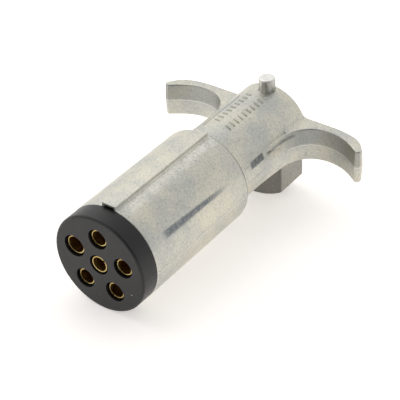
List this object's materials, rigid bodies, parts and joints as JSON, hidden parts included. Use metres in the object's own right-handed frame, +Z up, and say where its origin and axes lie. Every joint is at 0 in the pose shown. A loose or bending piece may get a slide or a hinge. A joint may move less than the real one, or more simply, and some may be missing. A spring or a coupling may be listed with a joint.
{
  "type": "trailer wiring connector",
  "caption": "Round multi-pole trailer plug with a die-cast finger-grip shell, black contact insert with brass sockets, and a screwed cable clamp.",
  "frame": {"origin": "centre of the plug's flat front face, on the barrel's axis", "axes": "+Y from the front face to the cable end along the barrel, +Z up through the key, +X to the plug's own left when it is looked at from the front"},
  "size_m": [0.098, 0.1168, 0.0494],
  "materials": {
    "zinc_casting": "as-cast zinc alloy, dull grey",
    "stud_metal": "turned, worn bright",
    "black_moulding": "matt black moulded",
    "brass_terminal": "turned brass",
    "plated_screw": "zinc-plated steel"
  },
  "bodies": {
    "housing": {"housing": "zinc_casting", "rear_stud": "stud_metal"},
    "insert": {"face_cap": "black_moulding", "terminal_block": "black_moulding", "joining_screw_1": "plated_screw", "joining_screw_2": "plated_screw", "terminal_centre": "brass_terminal", "terminal_top": "brass_terminal", "terminal_ground": "brass_terminal", "terminal_lower_left": "brass_terminal", "terminal_lower_right": "brass_terminal", "terminal_right": "brass_terminal"},
    "set_screw": {"insert_set_screw": "plated_screw"},
    "clamp": {"cable_clamp": "zinc_casting"},
    "clamp_screw_left": {"clamp_screw_left": "plated_screw"},
    "clamp_screw_right": {"clamp_screw_right": "plated_screw"},
    "wire_screw_centre": {"wire_screw_centre": "plated_screw"},
    "wire_screw_top": {"wire_screw_top": "plated_screw"},
    "wire_screw_ground": {"wire_screw_ground": "plated_screw"},
    "wire_screw_lower_left": {"wire_screw_lower_left": "plated_screw"},
    "wire_screw_lower_right": {"wire_screw_lower_right": "plated_screw"},
    "wire_screw_right": {"wire_screw_right": "plated_screw"}
  },
  "joints": [
    {"name": "insert_slide", "type": "slide", "parent": "housing", "child": "insert", "axis": [0, -1, 0], "range_m": [0, 0.056]},
    {"name": "set_screw_back_out", "type": "slide", "parent": "housing", "child": "set_screw", "axis": [0, 0, -1], "range_m": [0, 0.003]},
    {"name": "clamp_drop", "type": "slide", "parent": "housing", "child": "clamp", "axis": [0, 0, -1], "range_m": [0, 0.004]},
    {"name": "clamp_screw_left_turn", "type": "hinge", "parent": "clamp", "child": "clamp_screw_left", "pos_m": [-0.011, 0.1082, -0.0195], "axis": [0, 0, -1], "range_deg": [0, 2060]},
    {"name": "clamp_screw_right_turn", "type": "hinge", "parent": "clamp", "child": "clamp_screw_right", "pos_m": [0.011, 0.1082, -0.0195], "axis": [0, 0, -1], "range_deg": [0, 2060]},
    {"name": "wire_screw_centre_tighten", "type": "slide", "parent": "insert", "child": "wire_screw_centre", "axis": [-0.0349, 0, -0.9994], "range_m": [0, 0.0014]},
    {"name": "wire_screw_top_tighten", "type": "slide", "parent": "insert", "child": "wire_screw_top", "axis": [-0.0349, 0, -0.9994], "range_m": [0, 0.0014]},
    {"name": "wire_screw_ground_tighten", "type": "slide", "parent": "insert", "child": "wire_screw_ground", "axis": [0.9397, 0, -0.342], "range_m": [0, 0.0014]},
    {"name": "wire_screw_lower_left_tighten", "type": "slide", "parent": "insert", "child": "wire_screw_lower_left", "axis": [0.6157, 0, 0.788], "range_m": [0, 0.0014]},
    {"name": "wire_screw_lower_right_tighten", "type": "slide", "parent": "insert", "child": "wire_screw_lower_right", "axis": [-0.5592, 0, 0.829], "range_m": [0, 0.0014]},
    {"name": "wire_screw_right_tighten", "type": "slide", "parent": "insert", "child": "wire_screw_right", "axis": [-0.9613, 0, -0.2756], "range_m": [0, 0.0014]}
  ],
  "couplings": [
    {"joint": "clamp_screw_left_turn", "follows": "clamp_drop", "rad_per_m": 8976},
    {"joint": "clamp_screw_right_turn", "follows": "clamp_drop", "rad_per_m": 8976}
  ]
}
